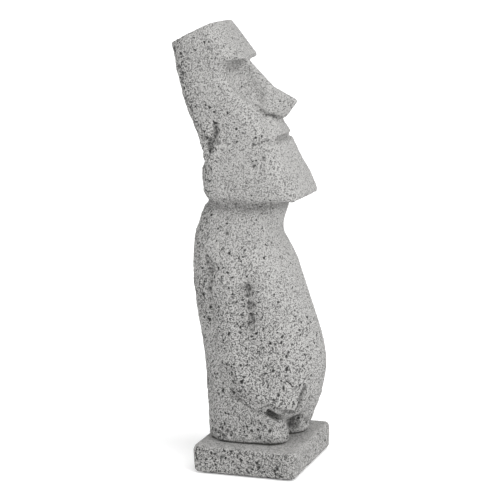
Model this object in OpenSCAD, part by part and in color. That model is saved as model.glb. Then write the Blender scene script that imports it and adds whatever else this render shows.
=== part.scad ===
// Cast-stone ancestor figure standing on a square plinth.
//
// The figure and the plinth are two castings. A threaded core rod is cast into the figure, where it
// reinforces the neck. It runs down through the plinth to a washer and a nut in a recess, and clamps
// the two castings together on a thin bed of mortar. A short pin beside it stops the figure turning.
// A thin rubber base closes the recess and is the face that the piece stands on.
//
// The figure faces -Y and the origin is the centre of the rubber's lower face.

/* [Figure] */
// Height of the figure above its mortar bed
figure_h = 372.5; // [340:0.5:400]
// Width across the arms
arm_span = 99; // [94:1:104]
// Width across the jaw
jaw_w = 80; // [76:1:84]
// Angle by which the flat crown falls towards the back
crown_slope = 24.5; // [20:0.5:28]

/* [Plinth] */
// Width of the plinth, from side to side
plinth_w = 108; // [104:1:130]
// Depth of the plinth, from front to back
plinth_d = 97; // [94:1:120]
// Height of the plinth
plinth_h = 25; // [22:0.5:32]
// Radius of the plinth's worn edges
plinth_edge_r = 3; // [2:0.5:3.5]
// Radius of the plinth's upright corners, seen from above
plinth_corner_r = 4.5; // [4.5:0.5:9]
// Amount by which each side is narrower at the bottom
plinth_draft = 0.8; // [0:0.2:0.8]
// Thickness of the mortar bed between figure and plinth
bed_t = 1; // [0.8:0.1:1.6]
// Thickness of the rubber base under the plinth
rubber_t = 1; // [1:0.5:3]
// Distance from the plinth's edge to the rubber's edge
rubber_inset = 6; // [5:1:12]

/* [Fixings] */
// Diameter of the threaded core rod
rod_d = 10; // [8:1:12]
// Length of rod that is cast into the figure
rod_grip = 262; // [240:1:275]
// Clearance between the rod and its hole in the plinth, on the radius
rod_clearance = 0.5; // [0.3:0.1:0.8]
// Depth of the nut's recess under the plinth
recess_depth = 13; // [12.5:0.5:15]
// Diameter of the nut's recess
recess_d = 30; // [28:1:34]
// Diameter of the locating pin
pin_d = 6; // [5:1:8]
// Length of the locating pin, half in each casting
pin_len = 28; // [20:1:34]

/* [Hidden] */

stone = "darkgray";
design_h = 372.5;                    // the height at which the stations below are written
grow = figure_h / design_h;
plinth_top = rubber_t + plinth_h;
figure_z = plinth_top + bed_t;       // the plane that the figure's feet stand on
rod_y = 8;                           // the rod stands on the line that stays deepest in the stone
pin_y = 32;                          // the pin stands behind the rod
bed_inset = 2.5;                     // from the feet's outline to the mortar's
washer_d = 24;
washer_t = 2;
nut_d = 17 / cos(30);                // across the corners, 17 across the flats
nut_t = 8;
thread_proud = 1;                    // rod that shows below the nut
body_sides = 52;                     // points round a body or head ring
rings_between = 2;                   // rings from each station to the next
limb_sides = 20;

// Stations up the body: height, back, front, half width, squareness
body_stations = [
    [0, 46, -12, 33, 3.4],
    [12, 46.5, -16, 35, 3.0],
    [20, 47, -32, 37.5, 2.8],
    [26, 47.5, -45, 39, 2.6],
    [36, 49, -53, 41, 2.4],
    [55, 50, -58.3, 43, 2.3],
    [73, 50.5, -59.5, 44, 2.3],
    [96, 54, -55, 44, 2.3],
    [120, 57, -47, 43.5, 2.35],
    [143, 59, -39, 44, 2.4],
    [161, 58.6, -33, 44, 2.4],
    [174, 58, -26.5, 42, 2.4],
    [183, 57, -21.5, 38.5, 2.4],
    [192, 54.5, -21, 35, 2.4],
    [202, 51.5, -24, 33, 2.4],
    [214, 47, -28.5, 32, 2.4],
    [226, 44, -29, 31, 2.4]
];

// Stations up the head: height, back, front, half width, squareness
head_stations = [
    [217.5, 36, -36, 34, 4.0],
    [219, 40, -46.5, 39.3, 4.4],
    [221.5, 41.5, -48.5, 40, 4.6],
    [232, 43.5, -45.5, 40, 4.6],
    [246, 44, -37.5, 39.5, 4.6],
    [251, 41, -34.5, 39.3, 4.6],
    [263, 43, -28.5, 39, 4.6],
    [275, 47, -22.5, 38.7, 4.6],
    [287, 52, -16, 38.2, 4.6],
    [302, 58, -7, 37.5, 4.6],
    [319, 62.5, 2, 36.5, 4.6],
    [332, 65.5, 8, 36, 4.6],
    [337, 66.5, 7.5, 35.8, 4.4],
    [341, 67.5, 4.5, 35.6, 4.2],
    [345, 68, 7, 35, 4.2],
    [352, 69.5, 12.5, 33.8, 4.4],
    [364, 72, 21.5, 31.8, 4.6],
    [378, 75, 33, 29.5, 4.8]
];

// Each foot: centre line, half width, toes' depth, shin's depth; the left foot stands forward
feet = [[-22, 15.5, -33, -24], [16, 16, -38.5, -50]];

// Down the arm: share of the half span, depth, height, radius along the side, radius outwards
arm_path = [
    [0.58, 24, 182, 12, 8],
    [0.70, 19, 166, 17, 11],
    [0.745, 15, 146, 18.5, 12],
    [0.745, 13, 122, 18, 12],
    [0.75, 12, 98, 17.5, 12],
    [0.75, 11, 80, 17, 12],
    [0.74, 5, 63, 15, 11],
    [0.70, -9, 49, 13, 11],
    [0.62, -25, 40, 11, 11],
    [0.50, -39, 36, 9.5, 10],
    [0.42, -47, 35, 7, 7]
];

// Down the ear: depth, height, radius along the side, radius outwards
ear_path = [
    [34, 289, 3, 1.5],
    [33.5, 285, 6.5, 3.5],
    [33, 276, 7.5, 4.2],
    [31.5, 266, 6.5, 3.6],
    [30, 258, 7, 3.8],
    [29, 252, 5.5, 3],
    [28.5, 249, 3, 1.2]
];

function signed_power(v, p) = sign(v) * pow(abs(v), p);

// Slope of a table's column at a row, from the rows on each side
function slope_at(table, i, col) =
    let (a = max(i - 1, 0), b = min(i + 1, len(table) - 1))
    (table[b][col] - table[a][col]) / (table[b][0] - table[a][0]);

function row_below(table, z, i = 0) =
    i >= len(table) - 2 || z < table[i + 1][0] ? i : row_below(table, z, i + 1);

// Smooth curve between two values, from their slopes
function hermite(v0, v1, m0, m1, t) =
    (2 * t^3 - 3 * t^2 + 1) * v0 + (t^3 - 2 * t^2 + t) * m0
    + (3 * t^2 - 2 * t^3) * v1 + (t^3 - t^2) * m1;

// The row of a station table at any height
function station(table, z) =
    let (i = row_below(table, z), h = table[i + 1][0] - table[i][0], t = (z - table[i][0]) / h)
    [z, for (c = [1:4]) hermite(table[i][c], table[i + 1][c],
        slope_at(table, i, c) * h, slope_at(table, i + 1, c) * h, t)];

// A level ring of points for a station, between an ellipse and a rectangle in outline
function level_ring(s, sides, spread) =
    let (mid = (s[1] + s[2]) / 2, half = (s[1] - s[2]) / 2)
    [for (i = [0:sides - 1]) let (a = 360 * (i + 0.5) / sides)
        [spread * s[3] * signed_power(cos(a), 2 / s[4]), mid + half * signed_power(sin(a), 2 / s[4]), s[0]]];

// An oval of points across a limb, square to the direction that it runs in
function cross_ring(place, along, r_side, r_out, sides) =
    let (u = cross(along, [1, 0, 0]), side = u / norm(u), out = cross(side, along / norm(along)))
    [for (i = [0:sides - 1]) let (a = 360 * i / sides) place + r_side * cos(a) * side + r_out * sin(a) * out];

function place_at(path, i) = path[max(0, min(len(path) - 1, i))];

// A closed skin over rings of equal counts, each ring turning the same way
module loft(rings) {
    n = len(rings[0]);
    last = len(rings) - 1;
    polyhedron(
        points = [for (r = rings) each r],
        faces = concat(
            [[for (i = [0:n - 1]) i]],
            [for (j = [0:last - 1], i = [0:n - 1])
                let (k = (i + 1) % n) [j * n + i, (j + 1) * n + i, (j + 1) * n + k, j * n + k]],
            [[for (i = [n - 1:-1:0]) last * n + i]]
        )
    );
}

// A skin up a station table, with a ring at every station so that the edges stay crisp
module tower(table, spread) {
    last = len(table) - 1;
    heights = concat(
        [for (i = [0:last - 1], k = [0:rings_between - 1])
            table[i][0] + (table[i + 1][0] - table[i][0]) * k / rings_between],
        [table[last][0]]
    );
    loft([for (z = heights) level_ring(station(table, z), body_sides, spread)]);
}

module ball(place, radii, sides = 28) {
    translate(place) scale(radii) sphere(r = 1, $fn = sides);
}

module both_sides() {
    children();
    mirror([1, 0, 0]) children();
}

module torso() {
    tower(body_stations, arm_span / 99);
}

// An arm down the side to the elbow, then forward under the belly to the fingertips
module arm() {
    path = [for (p = arm_path) [-p[0] * arm_span / 2, p[1], p[2]]];
    loft([for (i = [0:len(path) - 1])
        cross_ring(path[i], place_at(path, i - 1) - place_at(path, i + 1),
            arm_path[i][3], arm_path[i][4], limb_sides)]);
}

// A blunt foot and the shin above it, which runs up into the belly
module foot(f) {
    hull() {
        ball([f[0], 20, 4], [f[1] + 1, 18, 22]);
        ball([f[0], f[2] + 18, 5], [f[1], 18, 17]);
        ball([f[0], f[3] + 16, 33], [f[1], 16, 10]);
    }
}

// The head block, with the brow's overhang and the long jaw in its own outline
module skull() {
    tower(head_stations, jaw_w / 80);
}

// Everything above the crown's slanting plane
module above_crown() {
    translate([0, 30.5, design_h]) rotate([-crown_slope, 0, 0])
        translate([-60, -20, 0]) cube([120, 100, 40]);
}

// The ridge of the nose in two stretches, and its wings
module nose() {
    bridge = [0, -12.5, 311.5];
    hull() {
        ball([0, 12, 338], [5.5, 6, 4], 20);
        ball(bridge, [6.5, 7, 5], 20);
        ball([0, 4, 296], [10, 8, 8], 20);
    }
    hull() {
        ball(bridge, [6.5, 7, 5], 20);
        ball([0, -33.5, 302.5], [6.5, 5, 3], 20);
        ball([0, -22, 292], [8, 8, 5], 20);
        for (s = [-1, 1]) ball([9.5 * s, -11, 294.5], [6, 8, 6], 20);
    }
}

// Two lips that meet at the mouth's straight line, each running back into the face
module lips() {
    hull() {
        for (s = [-1, 1]) ball([14 * s, -8, 274.5], [14, 19, 4], 24);
        ball([0, -8, 288], [19, 14, 5], 24);
    }
    hull() {
        for (s = [-1, 1]) ball([13 * s, -9.5, 266], [14, 20.5, 4], 24);
        ball([0, -8, 254], [26, 22, 8], 24);
    }
}

// A hollow down the cheek, cut off square by the brow's lower edge
module eye_socket() {
    intersection() {
        translate([-24, -3.5, 324]) rotate([-28, 0, 0]) scale([19.5, 15.5, 22]) sphere(r = 1, $fn = 32);
        translate([-60, -60, 280]) cube([60, 120, 59]);
    }
}

module ear() {
    loft([for (i = [0:len(ear_path) - 1])
        cross_ring([-jaw_w / 2 + 2, ear_path[i][0], ear_path[i][1]], [0, 0.25, 1],
            ear_path[i][2], ear_path[i][3], limb_sides)]);
}

module sculpture() {
    scale(grow) difference() {
        union() {
            torso();
            both_sides() arm();
            for (f = feet) foot(f);
            difference() {
                skull();
                both_sides() eye_socket();
            }
            nose();
            lips();
            both_sides() ear();
        }
        above_crown();
        translate([-80, -80, -60]) cube([160, 160, 60]);
    }
}

// One closed solid, with the rod's and the pin's holes as true bores
module figure() {
    color(stone) difference() {
        translate([0, 0, figure_z]) minkowski() sculpture();
        translate([0, rod_y, figure_z - 1]) cylinder(d = rod_d, h = rod_grip + 1, $fn = 48);
        translate([0, pin_y, figure_z - 1]) cylinder(d = pin_d, h = pin_len / 2 + 1, $fn = 48);
    }
}

// A level ring of the slab, pulled in all round by an amount
function slab_ring(inset, z) =
    let (r = plinth_corner_r - inset)
    [for (q = [0:3], k = [0:6]) let (a = 90 * q + 15 * k, sx = q == 0 || q == 3 ? 1 : -1, sy = q < 2 ? 1 : -1)
        [sx * (plinth_w / 2 - plinth_corner_r) + r * cos(a),
         sy * (plinth_d / 2 - plinth_corner_r) + r * sin(a), z]];

// How far a ring is pulled in at a point of the rounded edge, and how far above or below the face it lies
function edge_in(a) = plinth_edge_r * (1 - sin(a));
function edge_up(a) = plinth_edge_r * (1 - cos(a));

module plinth() {
    color(stone) difference() {
        loft(concat(
            [for (a = [0:15:90]) slab_ring(edge_in(a) + plinth_draft, rubber_t + edge_up(a))],
            [for (a = [90:-15:0]) slab_ring(edge_in(a), plinth_top - edge_up(a))]
        ));
        translate([0, rod_y, 0]) cylinder(d = rod_d + 2 * rod_clearance, h = plinth_top + 1, $fn = 48);
        translate([0, rod_y, 0]) cylinder(d = recess_d, h = rubber_t + recess_depth, $fn = 64);
        translate([0, pin_y, plinth_top + bed_t - pin_len / 2]) cylinder(d = pin_d, h = pin_len, $fn = 48);
    }
}

// The bed keeps inside the figure's own outline, so that the joint reads as a thin dark line
module bed_outline() {
    hull() for (x = [-1, 1], y = [4, 31]) translate([x * 20, y]) circle(r = 10, $fn = 40);
    for (f = feet) {
        r = f[1] - bed_inset;
        hull() for (y = [4, f[2] + bed_inset + r + 1]) translate([f[0], y]) circle(r = r, $fn = 40);
    }
}

module mortar_bed() {
    color("dimgray") difference() {
        translate([0, 0, plinth_top]) linear_extrude(bed_t) scale(grow) bed_outline();
        for (hole = [[rod_y, rod_d], [pin_y, pin_d]])
            translate([0, hole[0], 0]) cylinder(d = hole[1], h = figure_z + 1, $fn = 48);
    }
}

module core_rod() {
    foot_z = rubber_t + recess_depth - washer_t - nut_t - thread_proud;
    color("silver") translate([0, rod_y, foot_z]) cylinder(d = rod_d, h = figure_z + rod_grip - foot_z, $fn = 48);
}

module washer() {
    color("silver") translate([0, rod_y, rubber_t + recess_depth - washer_t]) difference() {
        cylinder(d = washer_d, h = washer_t, $fn = 64);
        translate([0, 0, -1]) cylinder(d = rod_d + 2 * rod_clearance, h = washer_t + 2, $fn = 48);
    }
}

module nut() {
    color("silver") translate([0, rod_y, rubber_t + recess_depth - washer_t - nut_t]) difference() {
        cylinder(d = nut_d, h = nut_t, $fn = 6);
        translate([0, 0, -1]) cylinder(d = rod_d, h = nut_t + 2, $fn = 48);
    }
}

module locating_pin() {
    color("silver") translate([0, pin_y, figure_z - pin_len / 2]) cylinder(d = pin_d, h = pin_len, $fn = 48);
}

module rubber_base() {
    color("black") linear_extrude(rubber_t)
        hull() for (x = [-1, 1], y = [-1, 1])
            translate([x * (plinth_w / 2 - rubber_inset - 4), y * (plinth_d / 2 - rubber_inset - 4)]) circle(r = 4, $fn = 32);
}

figure();
plinth();
mortar_bed();
core_rod();
washer();
nut();
locating_pin();
rubber_base();
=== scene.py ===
"""A porous cast-stone figure on its plinth: carved shapes, open pores and finishes around the CAD frame.

The figure and the plinth are remade in finer mesh from their CAD shapes. Each is voxelled, softened the way
sand and handling soften cast stone, carved with strokes, and then weathered by a Geometry Nodes tree that
raises the hand-cast unevenness and sinks the pores. The pores' depth is kept on the mesh for the painted shade
in them.
"""

import math

import bmesh
import bpy
import numpy as np
from mathutils import Matrix, Vector


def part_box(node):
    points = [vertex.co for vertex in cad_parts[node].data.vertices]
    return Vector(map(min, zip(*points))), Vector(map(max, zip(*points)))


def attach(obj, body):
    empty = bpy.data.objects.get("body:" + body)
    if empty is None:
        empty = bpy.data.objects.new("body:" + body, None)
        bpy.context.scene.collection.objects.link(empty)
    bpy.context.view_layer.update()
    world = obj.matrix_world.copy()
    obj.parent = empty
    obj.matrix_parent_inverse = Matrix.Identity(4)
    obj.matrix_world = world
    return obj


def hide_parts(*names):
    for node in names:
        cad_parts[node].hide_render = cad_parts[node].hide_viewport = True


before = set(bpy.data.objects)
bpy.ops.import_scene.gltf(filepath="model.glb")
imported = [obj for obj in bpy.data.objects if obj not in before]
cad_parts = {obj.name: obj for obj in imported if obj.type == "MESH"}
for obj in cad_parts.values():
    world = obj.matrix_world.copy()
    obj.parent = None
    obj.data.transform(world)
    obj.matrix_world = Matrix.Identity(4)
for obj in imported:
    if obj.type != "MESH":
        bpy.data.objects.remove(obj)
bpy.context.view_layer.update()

MM = 0.001
VOXEL = 1.25 * MM
DOUBLES_WITHIN = 0.01 * MM
FIGURE_TRIANGLES = 195000
PLINTH_TRIANGLES = 117000
FOOT_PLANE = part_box("figure")[0].z
PLINTH_LOW, PLINTH_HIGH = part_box("plinth")


# ---------------------------------------------------------------------------------------- node writing


class Wire:
    """One output socket. Arithmetic on it adds Math nodes to its tree."""

    def __init__(self, sheet, socket):
        self.sheet = sheet
        self.socket = socket

    def math(self, operation, *values, clamp=False):
        settings = {"operation": operation, "use_clamp": clamp}
        return self.sheet.node("ShaderNodeMath", settings, dict(enumerate(values)))[0]

    def __add__(self, other):
        return self.math("ADD", self, other)

    def __radd__(self, other):
        return self.math("ADD", other, self)

    def __sub__(self, other):
        return self.math("SUBTRACT", self, other)

    def __rsub__(self, other):
        return self.math("SUBTRACT", other, self)

    def __mul__(self, other):
        return self.math("MULTIPLY", self, other)

    def __rmul__(self, other):
        return self.math("MULTIPLY", other, self)

    def __truediv__(self, other):
        return self.math("DIVIDE", self, other)

    def __rtruediv__(self, other):
        return self.math("DIVIDE", other, self)

    def __pow__(self, other):
        return self.math("POWER", self, other)

    def __lt__(self, other):
        return self.math("LESS_THAN", self, other)

    def held(self):
        """The value kept between 0 and 1."""
        return self.math("ADD", self, 0.0, clamp=True)

    def larger(self, other):
        return self.math("MAXIMUM", self, other)


class Made:
    """A node that has been made: its outputs by name, identifier or place."""

    def __init__(self, sheet, node):
        self.sheet = sheet
        self.node = node

    def __getitem__(self, key):
        return Wire(self.sheet, socket_called(self.node.outputs, key))


def socket_called(sockets, key):
    if isinstance(key, int):
        return sockets[key]
    for socket in sockets:
        if socket.identifier == key:
            return socket
    for socket in sockets:
        if socket.name == key and socket.enabled:
            return socket
    raise KeyError(key)


class NodeSheet:
    """A node tree that is being written, for a shader or for geometry."""

    def __init__(self, tree):
        self.tree = tree

    def node(self, kind, settings=None, inputs=None):
        made = self.tree.nodes.new(kind)
        for name, value in (settings or {}).items():
            setattr(made, name, value)
        for key, value in (inputs or {}).items():
            socket = socket_called(made.inputs, key)
            if isinstance(value, Wire):
                self.tree.links.new(value.socket, socket)
            else:
                socket.default_value = value
        return Made(self, made)

    def scaled(self, vector, factor):
        settings = {"operation": "SCALE"}
        return self.node("ShaderNodeVectorMath", settings, {"Vector": vector, "Scale": factor})[0]

    def summed(self, first, second):
        return self.node("ShaderNodeVectorMath", {"operation": "ADD"}, {0: first, 1: second})[0]

    def mixed(self, first, second, factor):
        """Two colours mixed, from all of the first to all of the second."""
        inputs = {"Factor_Float": factor, "A_Color": first, "B_Color": second}
        return self.node("ShaderNodeMix", {"data_type": "RGBA"}, inputs)["Result_Color"]

    def noise(self, place, size, detail=2.0, roughness=0.5):
        inputs = {"Vector": place, "Scale": 1.0 / size, "Detail": detail, "Roughness": roughness}
        return self.node("ShaderNodeTexNoise", {"noise_dimensions": "3D"}, inputs)

    def steps(self, value, low, high):
        """0 below low, 1 above high and smooth between."""
        inputs = {"Value": value, "From Min": low, "From Max": high, "To Min": 0.0, "To Max": 1.0}
        return self.node("ShaderNodeMapRange", {"interpolation_type": "SMOOTHSTEP"}, inputs)["Result"]


SMALLEST_PORE = 0.45  # as a share of the largest


def pore_bowls(sheet, place, cell, radius, share, shift):
    """Round pores of one size: 0 between them, a bowl's depth inside one and 1 at the largest's middle."""
    moved = sheet.summed(place, shift)
    inputs = {"Vector": moved, "Scale": 1.0 / cell, "Randomness": 1.0}
    cells = sheet.node("ShaderNodeTexVoronoi", {"voronoi_dimensions": "3D", "feature": "F1"}, inputs)
    chance = sheet.node("ShaderNodeSeparateXYZ", {}, {0: cells["Color"]})
    size = SMALLEST_PORE + (1.0 - SMALLEST_PORE) * chance["X"]
    reach = cells["Distance"] * cell / (radius * size)
    bowl = (1.0 - reach * reach).held() ** 0.5
    return bowl * size * (chance["Y"] < share)


# ------------------------------------------------------------------------------------ mesh as numbers


def points_of(mesh):
    flat = np.empty(len(mesh.vertices) * 3)
    mesh.vertices.foreach_get("co", flat)
    return flat.reshape(-1, 3)


def set_points(mesh, points):
    mesh.vertices.foreach_set("co", points.ravel())
    mesh.update()


def normals_of(mesh):
    flat = np.empty(len(mesh.vertices) * 3)
    mesh.vertices.foreach_get("normal", flat)
    return flat.reshape(-1, 3)


def edges_of(mesh):
    flat = np.empty(len(mesh.edges) * 2, int)
    mesh.edges.foreach_get("vertices", flat)
    return flat.reshape(-1, 2)


def keep_on_points(mesh, name, values):
    """One number a point, kept on the mesh for the node trees and the stone's colour."""
    attribute = mesh.attributes.new(name, "FLOAT", "POINT")
    attribute.data.foreach_set("value", values)


def paint_hollow_shade(mesh, amount):
    """Marks where the stone has been cut into, and other sheltered places, for painted shade in the stone's
    colour.
    """
    kept = mesh.attributes["hollow"]
    values = np.empty(len(mesh.vertices))
    kept.data.foreach_get("value", values)
    kept.data.foreach_set("value", np.maximum(values, amount))


def soften(mesh, passes, pull=0.7):
    """Pulls each point towards the middle of its neighbours, as many times as passes says for that point."""
    points = points_of(mesh)
    edges = edges_of(mesh)
    ends = np.concatenate([edges[:, 0], edges[:, 1]])
    others = np.concatenate([edges[:, 1], edges[:, 0]])
    count = np.bincount(ends, minlength=len(points))[:, None]
    for turn in range(int(passes.max())):
        total = np.stack([np.bincount(ends, points[others, k], len(points)) for k in range(3)], 1)
        share = np.clip(passes - turn, 0.0, 1.0)[:, None] * pull
        points += share * (total / count - points)
    set_points(mesh, points)


def to_stroke(points, path):
    """The distance from each point to a path of straight stretches, and how far along it that is, 0 to 1."""
    best = np.full(len(points), np.inf)
    along = np.zeros(len(points))
    stretches = len(path) - 1
    for i in range(stretches):
        start, end = np.array(path[i]), np.array(path[i + 1])
        run = end - start
        t = np.clip((points - start) @ run / (run @ run), 0.0, 1.0)
        distance = np.linalg.norm(points - start - t[:, None] * run, axis=1)
        nearer = distance < best
        best[nearer] = distance[nearer]
        along[nearer] = (i + t[nearer]) / stretches
    return best, along


def bell(distance, width):
    """1 at no distance, falling smoothly to nearly 0 at twice the width."""
    return np.exp(-((distance / width) ** 2))


def ramp(values, low, high):
    """0 up to low, 1 from high on and smooth between."""
    t = np.clip((values - low) / (high - low), 0.0, 1.0)
    return t * t * (3.0 - 2.0 * t)


def below(values, full, none):
    """1 down from full, 0 up from none and smooth between."""
    return ramp(-values, -none, -full)


# ------------------------------------------------------------------------------------------- carving


def on_figure(x, y, z):
    """A place given in millimetres from the middle of the figure's foot plane."""
    return (x * MM, y * MM, FOOT_PLANE + z * MM)


def laid_on(points, path, stride=3.0):
    """A path in millimetres laid on the stone: places a stride apart, each moved to the nearest point."""
    laid = []
    for start, end in zip(path[:-1], path[1:]):
        start, end = np.array(on_figure(*start)), np.array(on_figure(*end))
        places = max(1, round(np.linalg.norm(end - start) / (stride * MM)))
        laid += [start + (end - start) * k / places for k in range(places)]
    laid.append(end)
    return [points[np.argmin(((points - place) ** 2).sum(1))] for place in laid]


def up_the_figure(points):
    """Each point's height in millimetres above the figure's foot plane."""
    return (points[:, 2] - FOOT_PLANE) / MM


NARROW_FOR_SHADE = 4  # the width in millimetres under which a groove's bottom gets painted shade


def chisel(mesh, path, width, depth, fade=0.15):
    """Sinks a groove of a bell's section along a path, which fades out at its ends and wavers like hand work."""
    points = points_of(mesh)
    distance, along = to_stroke(points, laid_on(points, path))
    ends = ramp(along, 0.0, fade) * below(along, 1.0 - fade, 1.0) if fade else 1.0
    hand = 0.8 + 0.2 * np.sin(along * 23.0 + width) * np.sin(along * 9.0 + depth)
    sink = bell(distance, width * MM) * ends * hand * depth * MM
    set_points(mesh, points - normals_of(mesh) * sink[:, None])
    # painted shade along the bottom of a narrow groove
    paint_hollow_shade(mesh, 0.35 * bell(distance, 0.7 * width * MM) * ends * (width < NARROW_FOR_SHADE))


def pit(mesh, middle, radius, depth):
    """Sinks one open pore straight into the stone."""
    points = points_of(mesh)
    nearest = np.argmin(((points - np.array(on_figure(*middle))) ** 2).sum(1))
    inwards = -normals_of(mesh)[nearest]
    away = np.linalg.norm(points - points[nearest], axis=1)
    set_points(mesh, points + bell(away, radius * MM)[:, None] * inwards * depth * MM)
    # painted shade inside the pit
    paint_hollow_shade(mesh, bell(away, 0.8 * radius * MM))


def gouge(mesh, path, width, depth, towards):
    """Cuts a steep-sided slot along a path by driving the stone the given way."""
    points = points_of(mesh)
    distance, along = to_stroke(points, laid_on(points, path))
    ends = ramp(along, 0.0, 0.25) * below(along, 0.75, 1.0)
    way = np.array(towards, float)
    drive = np.exp(-((distance / (width * MM)) ** 4)) * ends * depth * MM
    set_points(mesh, points + drive[:, None] * way / np.linalg.norm(way))
    # painted shade inside the slot
    paint_hollow_shade(mesh, 0.7 * bell(distance, 0.8 * width * MM) * ends)


def within_ellipsoid(points, middle, radii):
    """How far inside an ellipsoid each point is: 1 at its middle, and 0 at its edge and past it."""
    reach = np.linalg.norm((points - on_figure(*middle)) / (np.array(radii) * MM), axis=1)
    return np.clip(1.0 - reach * reach, 0.0, 1.0)


def press(mesh, middle, radii, depth, towards, ceiling=None):
    """Pushes the stone round a place the given way, most at the middle of an ellipsoid and none past its edge.

    Nothing moves above the ceiling, so that a hollow can end square under an overhang.
    """
    points = points_of(mesh)
    fall = within_ellipsoid(points, middle, radii) ** 2
    if ceiling is not None:
        fall *= below(points[:, 2], FOOT_PLANE + (ceiling - 3) * MM, FOOT_PLANE + ceiling * MM)
    way = np.array(towards, float)
    set_points(mesh, points + fall[:, None] * depth * MM * way / np.linalg.norm(way))


def paint_shade_patch(mesh, middle, radii, amount):
    """Paints shade on the stone round a place, most at the middle of an ellipsoid and none past its edge."""
    paint_hollow_shade(mesh, amount * within_ellipsoid(points_of(mesh), middle, radii))


def mirrored(side, sizes):
    """A stroke's sizes for one side: what they say of x is turned over where the side is -1."""
    turned = dict(sizes)
    for name in ("middle", "towards"):
        if name in turned:
            x, y, z = turned[name]
            turned[name] = (side * x, y, z)
    if "path" in turned:
        turned["path"] = [(side * x, y, z) for x, y, z in turned["path"]]
    return turned


def carve_both_sides(mesh, strokes):
    """Carves a list of strokes, each a tool and its sizes in millimetres, on the right and then on the left."""
    for side in (-1, 1):
        for tool, sizes in strokes:
            tool(mesh, **mirrored(side, sizes))


def voxelled_copy(node, name):
    """A copy of a CAD node with its doubles merged, rebuilt in even faces of one size."""
    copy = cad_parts[node].copy()
    copy.data = copy.data.copy()
    copy.name = copy.data.name = name
    for key in list(copy.keys()):
        del copy[key]
    copy.parent = None
    bpy.context.scene.collection.objects.link(copy)
    merged = bmesh.new()
    merged.from_mesh(copy.data)
    bmesh.ops.remove_doubles(merged, verts=merged.verts, dist=DOUBLES_WITHIN)
    merged.to_mesh(copy.data)
    merged.free()
    remesh = copy.modifiers.new("even_faces", "REMESH")
    remesh.mode = "VOXEL"
    remesh.voxel_size = VOXEL
    bake_modifiers(copy)
    return copy


def bake_modifiers(piece):
    """Makes the piece's mesh what its modifiers give, and takes the modifiers off."""
    view = bpy.context.evaluated_depsgraph_get()
    view.update()
    baked = bpy.data.meshes.new_from_object(piece.evaluated_get(view), depsgraph=view)
    piece.modifiers.clear()
    old = piece.data
    piece.data = baked
    baked.name = piece.name
    bpy.data.meshes.remove(old)


def thin_to(piece, limit):
    """Joins faces where the stone is smooth until the piece has no more triangles than the limit."""
    triangles = sum(len(face.vertices) - 2 for face in piece.data.polygons)
    if triangles > limit:
        thinning = piece.modifiers.new("fewer_faces", "DECIMATE")
        thinning.ratio = limit / triangles
        bake_modifiers(piece)


# ------------------------------------------------------------------------------- weathering by nodes

WEATHER_INPUTS = {
    "Lump Size": 10 * MM,
    "Lump Height": 1.0 * MM,
    "Grit Size": 3.2 * MM,
    "Grit Height": 0.6 * MM,
    "Pore Spacing": 4.2 * MM,
    "Pore Radius": 1.5 * MM,
    "Pore Depth": 1.0 * MM,
    "Hole Spacing": 12 * MM,
    "Hole Radius": 2.3 * MM,
    "Hole Depth": 1.9 * MM,
}


WARP_SIZE = 2.6 * MM
WARP_REACH = 3.2 * MM
MOSTLY_INWARDS = 0.62  # above the noise's middle, so that the stone sinks more than it swells
LEAST_LUMPS = 0.2
LEAST_GRIT = 0.25


def weathering_tree():
    """The tree that makes smooth cast stone uneven and full of pores, and keeps their depth as "pore"."""
    tree = bpy.data.node_groups.new("weathered_stone", "GeometryNodeTree")
    sheet = NodeSheet(tree)
    tree.interface.new_socket("Geometry", in_out="INPUT", socket_type="NodeSocketGeometry")
    tree.interface.new_socket("Stone", in_out="INPUT", socket_type="NodeSocketMaterial")
    for name, value in WEATHER_INPUTS.items():
        tree.interface.new_socket(name, in_out="INPUT", socket_type="NodeSocketFloat").default_value = value
    tree.interface.new_socket("Geometry", in_out="OUTPUT", socket_type="NodeSocketGeometry")
    given = sheet.node("NodeGroupInput")
    place = sheet.node("GeometryNodeInputPosition")[0]
    outwards = sheet.node("GeometryNodeInputNormal")["Normal"]
    named = sheet.node("GeometryNodeInputNamedAttribute", {"data_type": "FLOAT"}, {"Name": "coarse"})
    coarse = named["Attribute"]
    fine_mesh = sheet.node("GeometryNodeSubdivideMesh", {}, {"Mesh": given["Geometry"], "Level": 1})

    def unevenness(size, height, detail):
        wave = sheet.noise(place, size, detail, 0.55)[0]
        return (wave - MOSTLY_INWARDS) * 2.0 * height

    lumps = unevenness(given["Lump Size"], given["Lump Height"], 2.0) * (LEAST_LUMPS + coarse)
    grit = unevenness(given["Grit Size"], given["Grit Height"], 3.0) * (LEAST_GRIT + coarse)
    warp = sheet.noise(place, WARP_SIZE, 2.0)["Color"]
    bent = sheet.summed(place, sheet.scaled(warp, WARP_REACH))
    pore_radius = given["Pore Radius"] * (0.7 + 0.45 * coarse)
    hole_radius = given["Hole Radius"] * (0.6 + 0.5 * coarse)
    pore_share = 0.1 + 0.8 * coarse
    hole_share = 0.05 + 0.6 * coarse
    pores = pore_bowls(sheet, bent, given["Pore Spacing"], pore_radius, pore_share, (0.3, 0.1, 0.7))
    holes = pore_bowls(sheet, bent, given["Hole Spacing"], hole_radius, hole_share, (0.5, 0.9, 0.2))
    rise = lumps + grit - pores * given["Pore Depth"] - holes * given["Hole Depth"]
    kept = sheet.node(
        "GeometryNodeStoreNamedAttribute",
        {"data_type": "FLOAT", "domain": "POINT"},
        {"Geometry": fine_mesh["Mesh"], "Name": "pore", "Value": pores.larger(holes)},
    )
    moved = sheet.node(
        "GeometryNodeSetPosition", {}, {"Geometry": kept["Geometry"], "Offset": sheet.scaled(outwards, rise)}
    )
    realized = sheet.node("GeometryNodeRealizeInstances", {}, {"Geometry": moved["Geometry"]})
    finished = sheet.node(
        "GeometryNodeSetMaterial", {}, {"Geometry": realized["Geometry"], "Material": given["Stone"]}
    )
    sheet.node("NodeGroupOutput", {}, {"Geometry": finished["Geometry"]})
    return tree


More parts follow.
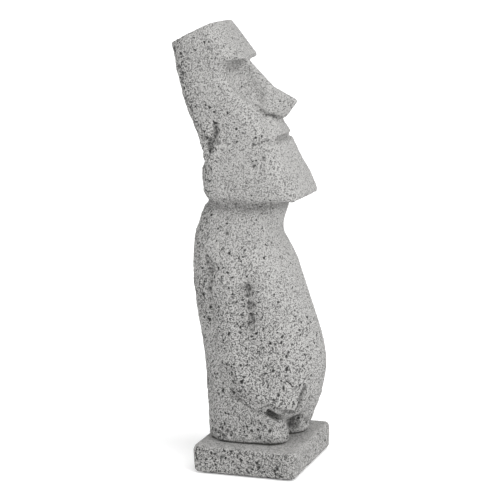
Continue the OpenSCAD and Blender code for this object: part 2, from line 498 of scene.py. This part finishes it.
def weather(piece, tree, **changes):
    """Runs the weathering on a piece, with its named inputs set where this stone differs."""
    modifier = piece.modifiers.new("weathering", "NODES")
    modifier.node_group = tree
    for item in tree.interface.items_tree:
        name = item.name.lower().replace(" ", "_")
        if name in changes:
            modifier[item.identifier] = changes[name]
    bake_modifiers(piece)


def keep_within(piece, node):
    """Brings back any point that has come out of its CAD node's box."""
    low, high = (np.array(corner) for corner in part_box(node))
    set_points(piece.data, np.clip(points_of(piece.data), low, high))


# ----------------------------------------------------------------------------------------- materials


def new_material(name, roughness):
    """An empty material: its sheet, its shader and where on the object a point lies."""
    material = bpy.data.materials.new(name)
    material.use_nodes = True
    tree = material.node_tree
    tree.nodes.clear()
    sheet = NodeSheet(tree)
    place = sheet.node("ShaderNodeTexCoord")["Object"]
    shader = sheet.node("ShaderNodeBsdfPrincipled", {}, {"Roughness": roughness})
    sheet.node("ShaderNodeOutputMaterial", {}, {"Surface": shader["BSDF"]})
    return material, sheet, shader, place


def feed(sheet, shader, **values):
    """Links or sets the shader's sockets, whose names are written with _ for a space."""
    for name, value in values.items():
        socket = socket_called(shader.node.inputs, name.replace("_", " "))
        if isinstance(value, Wire):
            sheet.tree.links.new(value.socket, socket)
        else:
            socket.default_value = value


GRAIN_SIZE = 1.15 * MM
DUST_SIZE = 0.6 * MM
FROTH_SIZE = 1.7 * MM
FROTH_SHIFT = (0.31, 0.72, 0.13)
BLOWN_SIZE = 3.1 * MM
BLOWN_SHIFT = (0.83, 0.26, 0.57)
PATCH_SIZE = 13 * MM
STAIN_SIZE = 60 * MM
STONE_RELIEF = 0.8 * MM


def porous_stone(name, pale, dark, painted_shade_colour):
    """Cast lava stone: pale and dark grains, a froth of small pits, and painted shade in the pits, the open
    pores and the marked hollows.
    """
    material, sheet, shader, place = new_material(name, 0.92)
    pore, coarse, hollow = (
        sheet.node("ShaderNodeAttribute", {"attribute_name": kept})["Fac"]
        for kept in ("pore", "coarse", "hollow")
    )
    grain = sheet.noise(place, GRAIN_SIZE, 1.0, 0.5)[0]
    dust = sheet.noise(place, DUST_SIZE, 1.0)[0]
    froth = sheet.noise(sheet.summed(place, FROTH_SHIFT), FROTH_SIZE, 1.5, 0.55)[0]
    blown = sheet.noise(sheet.summed(place, BLOWN_SHIFT), BLOWN_SIZE, 2.0, 0.6)[0]
    patch = sheet.noise(place, PATCH_SIZE, 3.0, 0.6)[0] - 0.5
    stain = sheet.noise(place, STAIN_SIZE, 2.0)[0] - 0.5
    # the pale and dark grains, paler where the stone is fine
    speckle = (grain - 0.5) * (2.6 + 2.4 * coarse) + (dust - 0.5) * 1.4
    tone = 0.76 - 0.13 * coarse + speckle + patch * 0.4 + stain * 0.4
    ground = sheet.mixed((*dark, 1.0), (*pale, 1.0), tone.held())
    # painted shade in what is sunk: small pits, blown pits, the open pores, and the hollows and folds marked on
    # the mesh
    froth_pits = sheet.steps(froth + 0.12 * patch + 0.05 * coarse, 0.59, 0.69)
    blown_pits = sheet.steps(blown + 0.12 * patch + 0.1 * coarse, 0.71, 0.76)
    pore_shade = sheet.steps(pore, 0.1, 0.5) * 0.95
    # painted shade in cuts, folds and under overhangs, from the "hollow" marks
    carved = sheet.steps(hollow + 0.8 * (froth - 0.5), 0.15, 0.85) * 0.8
    painted_shade_share = pore_shade.larger(froth_pits * (0.45 + 0.4 * coarse)).larger(blown_pits).larger(carved)
    colour = sheet.mixed(ground, (*painted_shade_colour, 1.0), painted_shade_share)
    height = grain * 0.8 + dust * 0.3 - froth_pits * 0.7 - blown_pits * 0.8
    bump = sheet.node("ShaderNodeBump", {}, {"Strength": 1.0, "Distance": STONE_RELIEF, "Height": height})
    feed(sheet, shader, Base_Color=colour, Roughness=(0.86 + 0.12 * grain).held(), Normal=bump["Normal"])
    feed(sheet, shader, Specular_IOR_Level=0.25)
    return material


def sandy_mortar():
    """Dark mortar, sandy close to and damp in patches."""
    material, sheet, shader, place = new_material("sandy_mortar", 0.95)
    sand_size, damp_size, relief = 0.6 * MM, 12 * MM, 0.3 * MM
    sand = sheet.noise(place, sand_size, 3.0, 0.7)[0]
    damp = sheet.noise(place, damp_size)[0]
    wet, dry = (0.035, 0.034, 0.032, 1), (0.13, 0.128, 0.12, 1)
    colour = sheet.mixed(wet, dry, (sand * 0.7 + damp * 0.3).held())
    bump = sheet.node("ShaderNodeBump", {}, {"Strength": 0.8, "Distance": relief, "Height": sand})
    feed(sheet, shader, Base_Color=colour, Normal=bump["Normal"], Specular_IOR_Level=0.2)
    return material


def zinc_plate():
    """Zinc-plated steel with a faint spangle and dull patches where it has tarnished."""
    material, sheet, shader, place = new_material("zinc_plate", 0.4)
    spangle_size, tarnish_size, relief = 2.2 * MM, 7 * MM, 0.1 * MM
    cells = sheet.node("ShaderNodeTexVoronoi", {}, {"Vector": place, "Scale": 1.0 / spangle_size})
    spangle = cells["Distance"]
    tarnish = sheet.noise(place, tarnish_size, 3.0, 0.6)[0]
    dull, bright = (0.36, 0.37, 0.37, 1), (0.66, 0.67, 0.68, 1)
    colour = sheet.mixed(dull, bright, (0.5 * spangle + tarnish - 0.1).held())
    height = tarnish + 0.3 * spangle
    bump = sheet.node("ShaderNodeBump", {}, {"Strength": 0.25, "Distance": relief, "Height": height})
    feed(sheet, shader, Base_Color=colour, Metallic=1.0, Roughness=0.28 + 0.3 * tarnish, Normal=bump["Normal"])
    return material


def moulded_rubber():
    """Black rubber with a fine fleck and scuffed patches."""
    material, sheet, shader, place = new_material("moulded_rubber", 0.75)
    fleck_size, scuff_size, relief = 0.5 * MM, 14 * MM, 0.15 * MM
    fleck = sheet.noise(place, fleck_size, 2.0, 0.7)[0]
    scuff = sheet.noise(place, scuff_size, 3.0)[0]
    clean, scuffed = (0.016, 0.016, 0.017, 1), (0.05, 0.05, 0.048, 1)
    colour = sheet.mixed(clean, scuffed, sheet.steps(scuff * 0.7 + fleck * 0.3, 0.35, 0.7))
    bump = sheet.node("ShaderNodeBump", {}, {"Strength": 0.5, "Distance": relief, "Height": fleck})
    feed(sheet, shader, Base_Color=colour, Roughness=0.62 + 0.25 * fleck, Normal=bump["Normal"])
    return material


# ----------------------------------------------------------------------------------------- the pieces


HEAD_PASSES = 2.5
BODY_PASSES = 13  # more than the head's
HANDS_SPARED = 0.85


def figure_passes(points):
    """How much each place is softened: the body most, the face's edges least."""
    up = up_the_figure(points)
    body = below(up, 212, 232)
    hands = below(up, 44, 66)
    return HEAD_PASSES + BODY_PASSES * body * (1 - HANDS_SPARED * hands)


BACK_LINE = ([0, 100, 180, 225, 300, 372], [20, 30, 32, 22, 34, 52])  # heights, and how far back at each
LEAST_COARSE = 0.12
MOST_COARSE = 0.85


def figure_coarseness(points):
    """Where the stone is open and rough, 0 to 1: the back, the ears and the lower body most, the face least."""
    x, y, up = points[:, 0] / MM, points[:, 1] / MM, up_the_figure(points)
    back = 0.75 * ramp(y - np.interp(up, *BACK_LINE), 0, 16)
    low = below(up, 70, 170) * 0.3
    side = ramp(np.abs(x), 10, 36) * 0.2
    arm = below(up, 190, 215) * ramp(np.abs(x), 36, 42) * 0.25
    ear = bell(np.hypot((y - 31) / 9, (up - 271) / 18), 1.0) * ramp(np.abs(x), 32, 37) * 0.55
    return np.clip(LEAST_COARSE + back + low + side + arm + ear, 0.0, MOST_COARSE)


def carve_face(mesh):
    right_lips = [(-33, -16, 268), (-26, -22, 269.5), (-12, -26, 270.5)]
    mouth = right_lips + [(-x, y, z) for x, y, z in reversed(right_lips)]
    chisel(mesh, mouth, width=1.6, depth=2.4, fade=0.05)
    under_brow = {"ceiling": 341}
    mouth_corner = [(38, -10, 268), (34, -17, 270), (31, -21, 271), (24, -25, 271.5)]
    wing = [(16, -5, 304), (17, -8, 298), (15, -12, 292), (11, -16, 289)]
    nose_underside = [(15, -12, 290), (9, -18, 288), (2, -24, 287)]
    beside_nose = (-0.2, 0.9, 0)
    strokes = (
        (gouge, dict(path=mouth_corner, width=1.3, depth=1.6, towards=(-0.5, 0.8, 0))),
        # the valley between nose and cheek, then the eye sockets under the brow
        (press, dict(middle=(17, 1, 319), radii=(9, 13, 17), depth=3.0, towards=beside_nose)),
        (press, dict(middle=(18, -4, 305), radii=(7, 10, 11), depth=2.2, towards=beside_nose)),
        (press, dict(middle=(27, 5, 328), radii=(18, 18, 19), depth=6.5, towards=(-0.6, 0.8, 0), **under_brow)),
        (press, dict(middle=(34, 14, 327), radii=(14, 16, 22), depth=3.0, towards=(-1, 0.4, 0), **under_brow)),
        (press, dict(middle=(13, 6, 331), radii=(9, 14, 15), depth=3.0, towards=(-0.2, 1, 0), **under_brow)),
        # the nose's wings, fuller at the foot
        (press, dict(middle=(14, -13, 295), radii=(7, 9, 7), depth=1.6, towards=(1, -0.3, 0))),
        # painted shade under the brow, beside the nose and under its wings
        (paint_shade_patch, dict(middle=(19, 10, 335), radii=(29, 17, 13), amount=0.45)),
        (paint_shade_patch, dict(middle=(10, 0, 315), radii=(11, 19, 30), amount=0.33)),
        (paint_shade_patch, dict(middle=(16, -8, 299), radii=(7, 9, 10), amount=0.4)),
        # the chin's crisp lower corners
        (press, dict(middle=(33, -46, 220), radii=(10, 9, 8), depth=2.6, towards=(0.5, -0.4, -1))),
        (chisel, dict(path=wing, width=1.8, depth=3.0, fade=0.15)),
        (gouge, dict(path=nose_underside, width=2.4, depth=3.4, towards=(0, 0.7, 0.7))),
    )
    carve_both_sides(mesh, strokes)


def undercut_jaw(mesh):
    """Cuts the neck back under the jaw's flat underside, all the way round, and paints shade on the neck there.
    """
    half = [(0, -31, 215), (20, -28, 215), (30, -18, 214), (32, 8, 214)]
    half += [(30, 32, 214), (14, 44, 214), (0, 46, 214)]
    for path in (half, [(-x, y, z) for x, y, z in half]):
        chisel(mesh, path, width=4.2, depth=3.2, fade=0)
    up = up_the_figure(points_of(mesh))
    # painted shade on the neck just under the jaw
    paint_hollow_shade(mesh, 0.42 * ramp(up, 196, 213) * below(up, 215, 219))


def carve_ears(mesh):
    front_crease = [(38, 24, 289), (39, 23, 281), (39, 24, 274), (40, 27, 268), (41, 28, 259)]
    low_hollow = [(41, 27, 271), (41, 27, 265), (41, 29, 259)]
    across = [(41, 36, 275), (42, 31, 274), (41, 26, 272)]
    under_lobe = [(40, 38, 263), (41, 33, 259), (40, 26, 257)]
    rim = [(40, 38, 286), (42, 35, 276), (41, 34, 266)]
    strokes = (
        (gouge, dict(path=front_crease, width=2.0, depth=3.2, towards=(-1, 0.3, 0.1))),
        (gouge, dict(path=low_hollow, width=2.6, depth=3.2, towards=(-1, 0.3, 0.3))),
        (gouge, dict(path=across, width=1.6, depth=3.0, towards=(-1, 0, 0))),
        (chisel, dict(path=under_lobe, width=2.0, depth=2.6, fade=0.1)),
        (chisel, dict(path=rim, width=1.8, depth=1.4)),
    )
    carve_both_sides(mesh, strokes)


def carve_arms(mesh):
    inner_line = [(43, -3, 156), (43, -3, 142), (43, -5, 127), (43, -5, 112), (44, -2, 92)]
    rear_line = [(40, 35, 168), (44, 29, 160), (42, 31, 146), (39, 32, 121), (39, 30, 103)]
    inner_pits = [(-3, 145), (-3, 141), (-4, 129), (-6, 127), (-4, 124)]
    inner_pits += [(-5, 117), (-6, 113), (-4, 111), (-2, 136)]
    rear_pits = [(35, 169), (33, 165), (31, 158), (30, 155), (31, 146)]
    rear_pits += [(32, 140), (31, 131), (32, 124), (31, 111), (29, 98)]
    strokes = (
        (chisel, dict(path=inner_line, width=8.0, depth=5.0, fade=0.3)),
        (chisel, dict(path=inner_line, width=2.4, depth=0.8, fade=0.2)),
        # painted shade in the fold between arm and belly
        (paint_shade_patch, dict(middle=(42, -3, 108), radii=(9, 13, 34), amount=0.36)),
        *((pit, dict(middle=(38, y, z), radius=2.1, depth=3.0)) for y, z in inner_pits),
        # painted shade in the fold behind the arm
        (paint_shade_patch, dict(middle=(42, 33, 140), radii=(9, 9, 42), amount=0.36)),
        (chisel, dict(path=rear_line, width=2.6, depth=3.4, fade=0.1)),
        (gouge, dict(path=rear_line[:3], width=1.3, depth=2.0, towards=(-1, 0, 0))),
        (chisel, dict(path=[(40, 35, 169), (46, 24, 157)], width=1.3, depth=1.8, fade=0.1)),
        *((pit, dict(middle=(42, y, z), radius=1.8, depth=2.8)) for y, z in rear_pits),
    )
    carve_both_sides(mesh, strokes)


def carve_hands_and_feet(mesh):
    thigh_fold = [(41, 16, 48), (41, 9, 42), (41, 2, 38)]
    fold_middle = [(41, 14, 46), (41, 9, 42), (41, 4, 39)]
    under_hand = [(40, -2, 31), (40, -10, 28.5), (41, -15, 31), (41, -20, 37)]
    slot = [(40, -17, 31), (38, -21, 29), (34, -26, 25), (29, -31, 22)]
    finger = [(41, -18, 37), (40, -25, 35), (37, -32, 33)]
    fingertips = [(24, -52, 56), (28, -48, 43), (32, -44, 29)]
    under_fingers = [(36, -32, 29), (33, -38, 29), (30, -42, 30)]
    ankle = [(37, -17, 22), (36, -21, 19), (36, -23, 15)]
    between_hands = [(16, -52, 45), (16, -50, 38), (17, -47, 30)]
    knuckle_gap = [(37, -12, 27), (38, -13, 18)]
    heel_hollow = [(38, 4, 26), (38, 9, 16), (37, 12, 6)]
    strokes = (
        (chisel, dict(path=thigh_fold, width=2.2, depth=3.8)),
        (gouge, dict(path=fold_middle, width=1.3, depth=2.0, towards=(-1, 0, 0.4))),
        (chisel, dict(path=under_hand, width=1.7, depth=2.6, fade=0.1)),
        (gouge, dict(path=slot, width=3.0, depth=12.0, towards=(-0.75, 0.6, 0.1))),
        (chisel, dict(path=finger, width=1.5, depth=2.4, fade=0.1)),
        (gouge, dict(path=fingertips, width=1.6, depth=4.6, towards=(-0.6, 0.75, 0))),
        (gouge, dict(path=under_fingers, width=3.0, depth=5.0, towards=(-0.6, 0.4, 0.6))),
        (chisel, dict(path=ankle, width=1.4, depth=2.2, fade=0.1)),
        (gouge, dict(path=between_hands, width=1.8, depth=3.0, towards=(0, 1, 0.1))),
        # two knuckles with a gap between them, and the swell of the foot
        (press, dict(middle=(38, -8, 24), radii=(7, 8, 5), depth=2.4, towards=(1, 0, 0.2))),
        (press, dict(middle=(37, -16, 20), radii=(6, 6, 5), depth=1.8, towards=(1, 0, 0.2))),
        (chisel, dict(path=knuckle_gap, width=1.4, depth=2.0, fade=0.1)),
        (press, dict(middle=(36, -20, 9), radii=(10, 13, 11), depth=1.8, towards=(1, -0.3, 0))),
        (chisel, dict(path=heel_hollow, width=5.0, depth=1.6)),
    )
    carve_both_sides(mesh, strokes)
    # the toes: the left foot stands further forward
    for gaps, front in (((-30, -24, -18), -31), ((10, 16, 22), -37)):
        for x in gaps:
            chisel(mesh, [(x, front + 2, 17), (x, front - 1, 11), (x, front - 1, 4)], width=1.5, depth=2.6)
    # the left foot's inner crease, and the dark space between the feet
    chisel(mesh, [(1, -31, 16), (4, -38, 15)], width=1.6, depth=1.8, fade=0.1)
    inner_wall = [(0, -33, 22), (0, -29, 15), (0, -27, 8), (1, -28, 1)]
    over_the_gap = [(0, -35, 24), (-8, -33, 22), (-18, -30, 20)]
    gouge(mesh, inner_wall, width=5.0, depth=3.0, towards=(1, 0.4, 0))
    gouge(mesh, over_the_gap, width=3.0, depth=3.0, towards=(0, 0.5, 0.6))


def carve_old_pits(mesh):
    """The larger single pits of this casting, and the row down the back edges of the head."""
    for x, y, z, radius, depth in (
        (-38, -10, 269, 2.2, 2.2),
        (-38, -19, 257, 2.0, 2.2),
        (-39, -11, 250, 2.0, 1.6),
        (-8, 17, 358, 1.6, 1.2),
        (-36, 17, 190, 2.2, 2.2),
        (-18, -28, 168, 1.5, 1.8),
        (-20, -20, 180, 1.5, 1.2),
        (-43, -17, 90, 1.8, 2.0),
        (-36, 21, 9, 2.0, 3.0),
        (-35, 26, 12, 1.8, 2.4),
        (-36, 24, 5, 1.7, 2.6),
        (-36, 17, 6, 1.8, 2.4),
        (-36, 29, 8, 1.6, 2.2),
        (-36, 13, 11, 1.5, 2.0),
        (-36, 18, 14, 1.4, 1.8),
        (-34, 56, 328, 3.0, 2.4),
        (-31, 55, 306, 3.0, 2.0),
    ):
        pit(mesh, (x, y, z), radius, depth)
    row_length = 30
    for i in range(row_length):
        side = -1 if i % 2 else 1
        place = (side * (31 + 4 * math.sin(2.3 * i)), 46 + 0.6 * i, 238 + 4.2 * i)
        pit(mesh, place, radius=2.3 + 0.8 * math.sin(1.7 * i), depth=2.0 + 0.9 * math.cos(2.9 * i))


def give_its_weather(piece, coarseness, stone_tree, stone, triangles, node, **changes):
    """The last steps for a carved piece: how coarse it is, its pores, fewer faces, and its node's box."""
    keep_on_points(piece.data, "coarse", coarseness(points_of(piece.data)))
    weather(piece, stone_tree, stone=stone, **changes)
    thin_to(piece, triangles)
    keep_within(piece, node)


def sculpted_figure(stone_tree, stone):
    figure = voxelled_copy("figure", "carved_figure")
    soften(figure.data, figure_passes(points_of(figure.data)))
    keep_on_points(figure.data, "hollow", np.zeros(len(figure.data.vertices)))
    for carve in (carve_arms, carve_hands_and_feet, carve_ears, carve_face, undercut_jaw, carve_old_pits):
        carve(figure.data)
    give_its_weather(figure, figure_coarseness, stone_tree, stone, FIGURE_TRIANGLES, "figure")
    return figure


def chip_plinth(mesh):
    """Knocks the corners and edges about, and opens the pits that this slab shows."""
    wide, deep = PLINTH_HIGH.x / MM, PLINTH_HIGH.y / MM
    top, foot = PLINTH_HIGH.z / MM - FOOT_PLANE / MM, PLINTH_LOW.z / MM - FOOT_PLANE / MM
    for x, y, z, size, depth in (
        (-wide, -deep, top, 7, 2.0),
        (-wide, -deep, foot, 6, 2.2),
        (wide, -deep, top, 6, 1.2),
        (wide, -deep, foot, 6, 1.8),
        (-wide, deep, top, 7, 1.8),
        (-wide, deep, foot, 5, 1.6),
        (wide, deep, top, 8, 2.2),
        (-wide, -deep + 26, foot, 5, 1.2),
        (-wide, 12, top, 6, 1.2),
        (-14, -deep, foot, 6, 1.8),
        (18, -deep, top, 6, 1.4),
        (wide, 10, top, 6, 1.4),
        (8, deep, top, 6, 1.2),
    ):
        across = -np.sign(x) * (abs(x) > wide - 1)
        along = -np.sign(y) * (abs(y) > deep - 1)
        upwards = -1 if z == top else 0.6
        press(mesh, (x, y, z), radii=(size, size, size * 0.8), depth=depth, towards=(across, along, upwards))
    for x, y, z, radius, depth in (
        (wide - 6, -deep, top - 4, 2.0, 2.2),
        (wide - 11, -deep, top - 7, 1.6, 1.8),
        (wide - 3, -deep + 3, top - 9, 1.8, 2.0),
        (-20, -deep, -14, 2.2, 2.0),
        (-wide, 20, -10, 2.2, 2.0),
        (-wide, -14, -17, 2.0, 1.8),
    ):
        pit(mesh, (x, y, z), radius, depth)


PLINTH_PASSES = 3.0


def plinth_coarseness(points):
    """The slab's flanks are the most open, and its upper face is dressed smooth."""
    upper = ramp(points[:, 2], PLINTH_HIGH.z - 2 * MM, PLINTH_HIGH.z - 0.6 * MM)
    flank = ramp(np.abs(points[:, 0]), PLINTH_HIGH.x - 4 * MM, PLINTH_HIGH.x - 1 * MM)
    return np.clip(0.55 + 0.4 * flank - 0.55 * upper, 0.0, 1.0)


def worn_plinth(stone_tree, stone):
    plinth = voxelled_copy("plinth", "worn_plinth")
    soften(plinth.data, np.full(len(plinth.data.vertices), PLINTH_PASSES))
    keep_on_points(plinth.data, "hollow", np.zeros(len(plinth.data.vertices)))
    chip_plinth(plinth.data)
    flatter = {"lump_height": 0.6 * MM, "grit_height": 0.4 * MM}
    give_its_weather(plinth, plinth_coarseness, stone_tree, stone, PLINTH_TRIANGLES, "plinth", **flatter)
    return plinth


def shade_smooth(piece):
    piece.data.polygons.foreach_set("use_smooth", [True] * len(piece.data.polygons))


figure_stone = porous_stone(
    "figure_stone", pale=(0.4, 0.396, 0.387), dark=(0.14, 0.139, 0.136), painted_shade_colour=(0.035, 0.035, 0.034)
)
plinth_stone = porous_stone(
    "plinth_stone", pale=(0.37, 0.366, 0.357), dark=(0.12, 0.119, 0.116), painted_shade_colour=(0.033, 0.033, 0.032)
)
stone_tree = weathering_tree()
figure = sculpted_figure(stone_tree, figure_stone)
plinth = worn_plinth(stone_tree, plinth_stone)

for piece, node, slot in ((figure, "figure", "figure_stone"), (plinth, "plinth", "plinth_stone")):
    shade_smooth(piece)
    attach(piece, "root")
    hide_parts(node)

zinc = zinc_plate()
for node, material in {
    "mortar_bed": sandy_mortar(),
    "core_rod": zinc,
    "washer": zinc,
    "nut": zinc,
    "locating_pin": zinc,
    "rubber_base": moulded_rubber(),
}.items():
    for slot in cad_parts[node].material_slots:
        slot.material = material


# ------------------------------------------------------------------------------ floor, light, camera


def pale_floor():
    """A plain pale floor, so wide that its far edge is never seen."""
    mesh = bpy.data.meshes.new("floor")
    reach = 40.0
    corners = [(-reach, -reach, 0), (reach, -reach, 0), (reach, reach, 0), (-reach, reach, 0)]
    mesh.from_pydata(corners, [], [(0, 1, 2, 3)])
    floor = bpy.data.objects.new("floor", mesh)
    bpy.context.scene.collection.objects.link(floor)
    material, sheet, shader, place = new_material("pale_floor", 0.9)
    drift_size = 0.4
    drift = sheet.noise(place, drift_size)[0]
    feed(sheet, shader, Base_Color=sheet.mixed((0.9, 0.9, 0.9, 1), (0.94, 0.94, 0.94, 1), drift))
    feed(sheet, shader, Emission_Color=(1, 1, 1, 1), Emission_Strength=0.2)
    mesh.materials.append(material)


def window_light(name, towards, spread, strength):
    """A broad even light from far away, like a tall north window."""
    light = bpy.data.lights.new(name, "SUN")
    light.energy = strength
    light.angle = math.radians(spread)
    lamp = bpy.data.objects.new(name, light)
    lamp.rotation_euler = Vector(towards).to_track_quat("-Z", "Y").to_euler()
    bpy.context.scene.collection.objects.link(lamp)


def studio_walls(low_bright, high_bright):
    """Pale walls all round, brighter near the floor than overhead."""
    world = bpy.data.worlds.new("studio")
    world.use_nodes = True
    world.node_tree.nodes.clear()
    sheet = NodeSheet(world.node_tree)
    way = sheet.node("ShaderNodeTexCoord")["Generated"]
    height = sheet.node("ShaderNodeSeparateXYZ", {}, {0: way})["Z"]
    low, high = ((value, value, value, 1.0) for value in (low_bright, high_bright))
    colour = sheet.mixed(low, high, sheet.steps(height, 0.15, 0.7))
    walls = sheet.node("ShaderNodeBackground", {}, {"Color": colour})
    sheet.node("ShaderNodeOutputWorld", {}, {"Surface": walls["Background"]})
    bpy.context.scene.world = world


def camera():
    """The camera looks at the figure's right side from a little in front, slightly above its middle."""
    swing = math.radians(19.82)
    tilt = math.radians(-1.25)
    distance, eye_height = 1.5, 0.4859
    stand = Vector((-distance * math.cos(swing), -distance * math.sin(swing), eye_height))
    aim = Vector((-0.0027, 0.0074, 0.196))
    forward = (aim - stand).normalized()
    right = forward.cross(Vector((0, 0, 1))).normalized()
    up = right.cross(forward)
    tilted_right = right * math.cos(tilt) + up * math.sin(tilt)
    tilted_up = up * math.cos(tilt) - right * math.sin(tilt)
    turn = Matrix((tilted_right, tilted_up, -forward)).transposed().to_4x4()
    lens = bpy.data.cameras.new("camera")
    lens.lens = 123.1
    lens.sensor_width = 36
    eye = bpy.data.objects.new("camera", lens)
    eye.matrix_world = Matrix.Translation(stand) @ turn
    bpy.context.scene.collection.objects.link(eye)
    bpy.context.scene.camera = eye


pale_floor()
window_light("key", towards=(0.33, 0.66, -0.92), spread=50, strength=2.0)
window_light("front", towards=(0.25, 1.0, -0.3), spread=50, strength=0.75)
window_light("fill", towards=(0.75, -0.45, -0.95), spread=70, strength=0.84)
studio_walls(low_bright=1.0, high_bright=0.45)
camera()

bpy.context.scene.view_settings.view_transform = "Standard"
